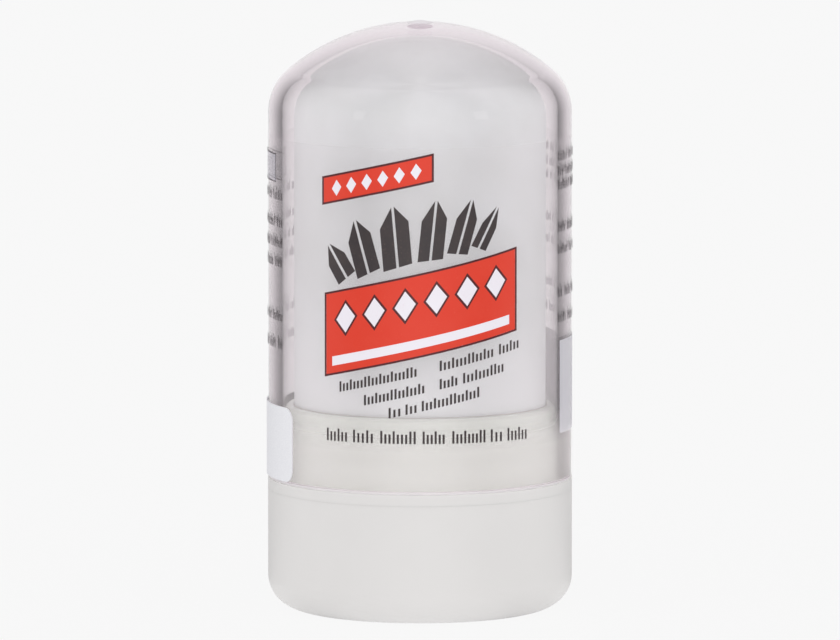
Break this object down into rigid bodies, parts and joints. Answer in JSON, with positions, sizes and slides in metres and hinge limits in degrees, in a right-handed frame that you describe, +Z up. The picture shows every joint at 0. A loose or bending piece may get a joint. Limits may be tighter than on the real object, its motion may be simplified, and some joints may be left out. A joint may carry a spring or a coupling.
{
  "type": "crystal deodorant stick",
  "caption": "Solid mineral salt deodorant stick: a domed stone glued into a round foot, under a clear domed pull-off cap with a printed film label.",
  "frame": {"origin": "centre of the foot's underside, at the height of the ring it stands on", "axes": "+Z up along the stick's axis, -Y towards the front of the label, +X to the right as the label is read"},
  "size_m": [0.0363, 0.0361, 0.0698],
  "materials": {
    "frosted_plastic": "frosted, moulded",
    "natural_plastic": "translucent, moulded",
    "clear_plastic": "clear, polished mould",
    "salt_stone": "smooth, translucent",
    "adhesive": "set, translucent",
    "clear_film": "clear film",
    "red_ink": "printed",
    "white_ink": "printed",
    "blue_ink": "printed",
    "dark_ink": "printed",
    "sticker_paper": "coated paper"
  },
  "bodies": {
    "base": {"foot_cup": "frosted_plastic", "stone_socket": "natural_plastic", "adhesive_pad": "adhesive", "crystal_stone": "salt_stone"},
    "cap": {"clear_cap": "clear_plastic", "label_film": "clear_film", "label_red_fields": "red_ink", "label_white_marks": "white_ink", "label_dark_lines": "dark_ink", "label_crystal_points": "dark_ink", "label_small_print": "dark_ink", "label_side_print": "dark_ink", "label_white_box": "white_ink", "label_blue_field": "blue_ink", "paper_sticker": "sticker_paper"}
  },
  "joints": [
    {"name": "cap_lift", "type": "slide", "parent": "base", "child": "cap", "axis": [0, 0, 1], "range_m": [0, 0.058]}
  ]
}
